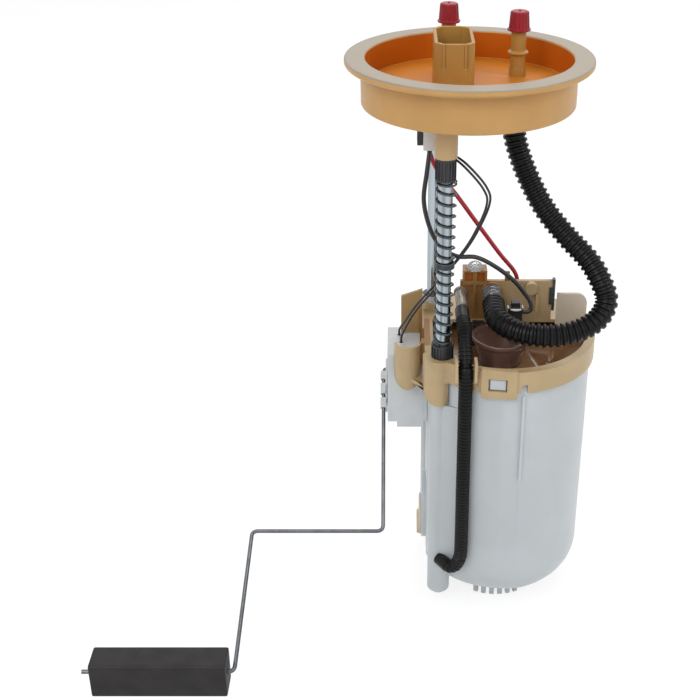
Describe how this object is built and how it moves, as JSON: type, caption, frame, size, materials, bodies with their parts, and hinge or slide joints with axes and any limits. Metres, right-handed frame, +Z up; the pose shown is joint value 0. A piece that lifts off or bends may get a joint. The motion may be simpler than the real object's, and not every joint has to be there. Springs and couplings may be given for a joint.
{
  "type": "fuel pump module",
  "caption": "In-tank fuel pump module: flange with fuel nipples and connector, sprung guide rods, reservoir with pump and filter, and a level sender with a float arm.",
  "frame": {"origin": "centre of the flange at its seat plane, the underside of the rim that lies on the tank", "axes": "+Z up along the guide rods, out of the tank; -Y to the front, where the float hangs; +X to the right"},
  "size_m": [0.285, 0.2285, 0.3533],
  "materials": {
    "acetal_amber": "moulded, satin",
    "cap_red": "moulded",
    "brass_terminal": "stamped",
    "nylon_white": "moulded",
    "nylon_black": "moulded",
    "nylon_grey": "moulded",
    "rod_steel": "ground and plated",
    "spring_steel": "oiled spring wire",
    "hose_black": "corrugated nylon",
    "wire_black": "extruded",
    "wire_red": "extruded",
    "acetal_milky": "moulded, natural",
    "acetal_grey": "moulded",
    "valve_clear": "moulded clear",
    "filter_plastic": "moulded, translucent",
    "filter_paper": "pleated paper",
    "rubber_black": "moulded",
    "cover_brown": "moulded",
    "can_steel": "drawn tube",
    "magnet_ferrite": "sintered",
    "cast_aluminium": "die cast",
    "armature_copper": "wound and lacquered",
    "strainer_mesh": "nylon felt",
    "ceramic_card": "printed ceramic",
    "arm_steel": "drawn wire",
    "float_foam": "nitrile foam"
  },
  "bodies": {
    "flange_group": {"flange": "acetal_amber", "transport_caps": "cap_red", "connector_terminals": "brass_terminal", "under_plug": "nylon_white", "plug_lock": "nylon_black", "guide_rod_front": "rod_steel", "guide_rod_rear": "rod_steel", "spring_seat": "nylon_black", "spring_front": "spring_steel", "supply_hose": "hose_black", "pump_wire_black": "wire_black", "pump_wire_red": "wire_red", "sender_wires": "wire_black"},
    "reservoir_group": {"reservoir": "acetal_milky", "holder": "acetal_amber", "slide_bush_front": "nylon_black", "slide_bush_rear": "nylon_black", "valve_dome": "valve_clear", "wall_clip": "spring_steel", "return_nipple": "nylon_grey", "jet_tube": "hose_black", "filter_housing": "filter_plastic", "filter_lid": "filter_plastic", "filter_element": "filter_paper", "element_caps": "nylon_black", "rubber_stop": "rubber_black", "pump_cover": "cover_brown", "pump_plug": "nylon_black", "pump_can": "can_steel", "outlet_cap": "nylon_black", "motor_magnets": "magnet_ferrite", "brushes": "magnet_ferrite", "pump_chamber": "cast_aluminium", "inlet_cover": "cast_aluminium", "strainer": "strainer_mesh", "strainer_neck": "nylon_black", "jet_pump_cover": "acetal_amber", "foot_valve": "rubber_black", "sender_housing": "acetal_grey", "resistor_card": "ceramic_card"},
    "pump_rotor": {"armature": "armature_copper", "motor_shaft": "rod_steel", "impeller": "cover_brown"},
    "outlet_valve": {"check_valve": "brass_terminal"},
    "sender_arm": {"arm_carrier": "acetal_grey", "wiper_contacts": "brass_terminal", "float_arm": "arm_steel", "float": "float_foam"}
  },
  "joints": [
    {"name": "suspension_slide", "type": "slide", "parent": "flange_group", "child": "reservoir_group", "axis": [0, 0, 1], "range_m": [0, 0.045], "stiffness_N_per_m": 350, "springref_m": -0.06, "deforming": ["spring_front", "supply_hose", "pump_wire_black", "pump_wire_red", "sender_wires"]},
    {"name": "float_hinge", "type": "hinge", "parent": "reservoir_group", "child": "sender_arm", "pos_m": [-0.0437, 0, -0.1982], "axis": [-1, 0, 0], "range_deg": [0, 75]},
    {"name": "rotor_spin", "type": "hinge", "parent": "reservoir_group", "child": "pump_rotor", "pos_m": [0.021, -0.02, -0.215], "axis": [0, 0, 1], "continuous": true},
    {"name": "valve_lift", "type": "slide", "parent": "reservoir_group", "child": "outlet_valve", "axis": [0, 0, 1], "range_m": [0, 0.0015], "stiffness_N_per_m": 60, "springref_m": -0.002}
  ]
}
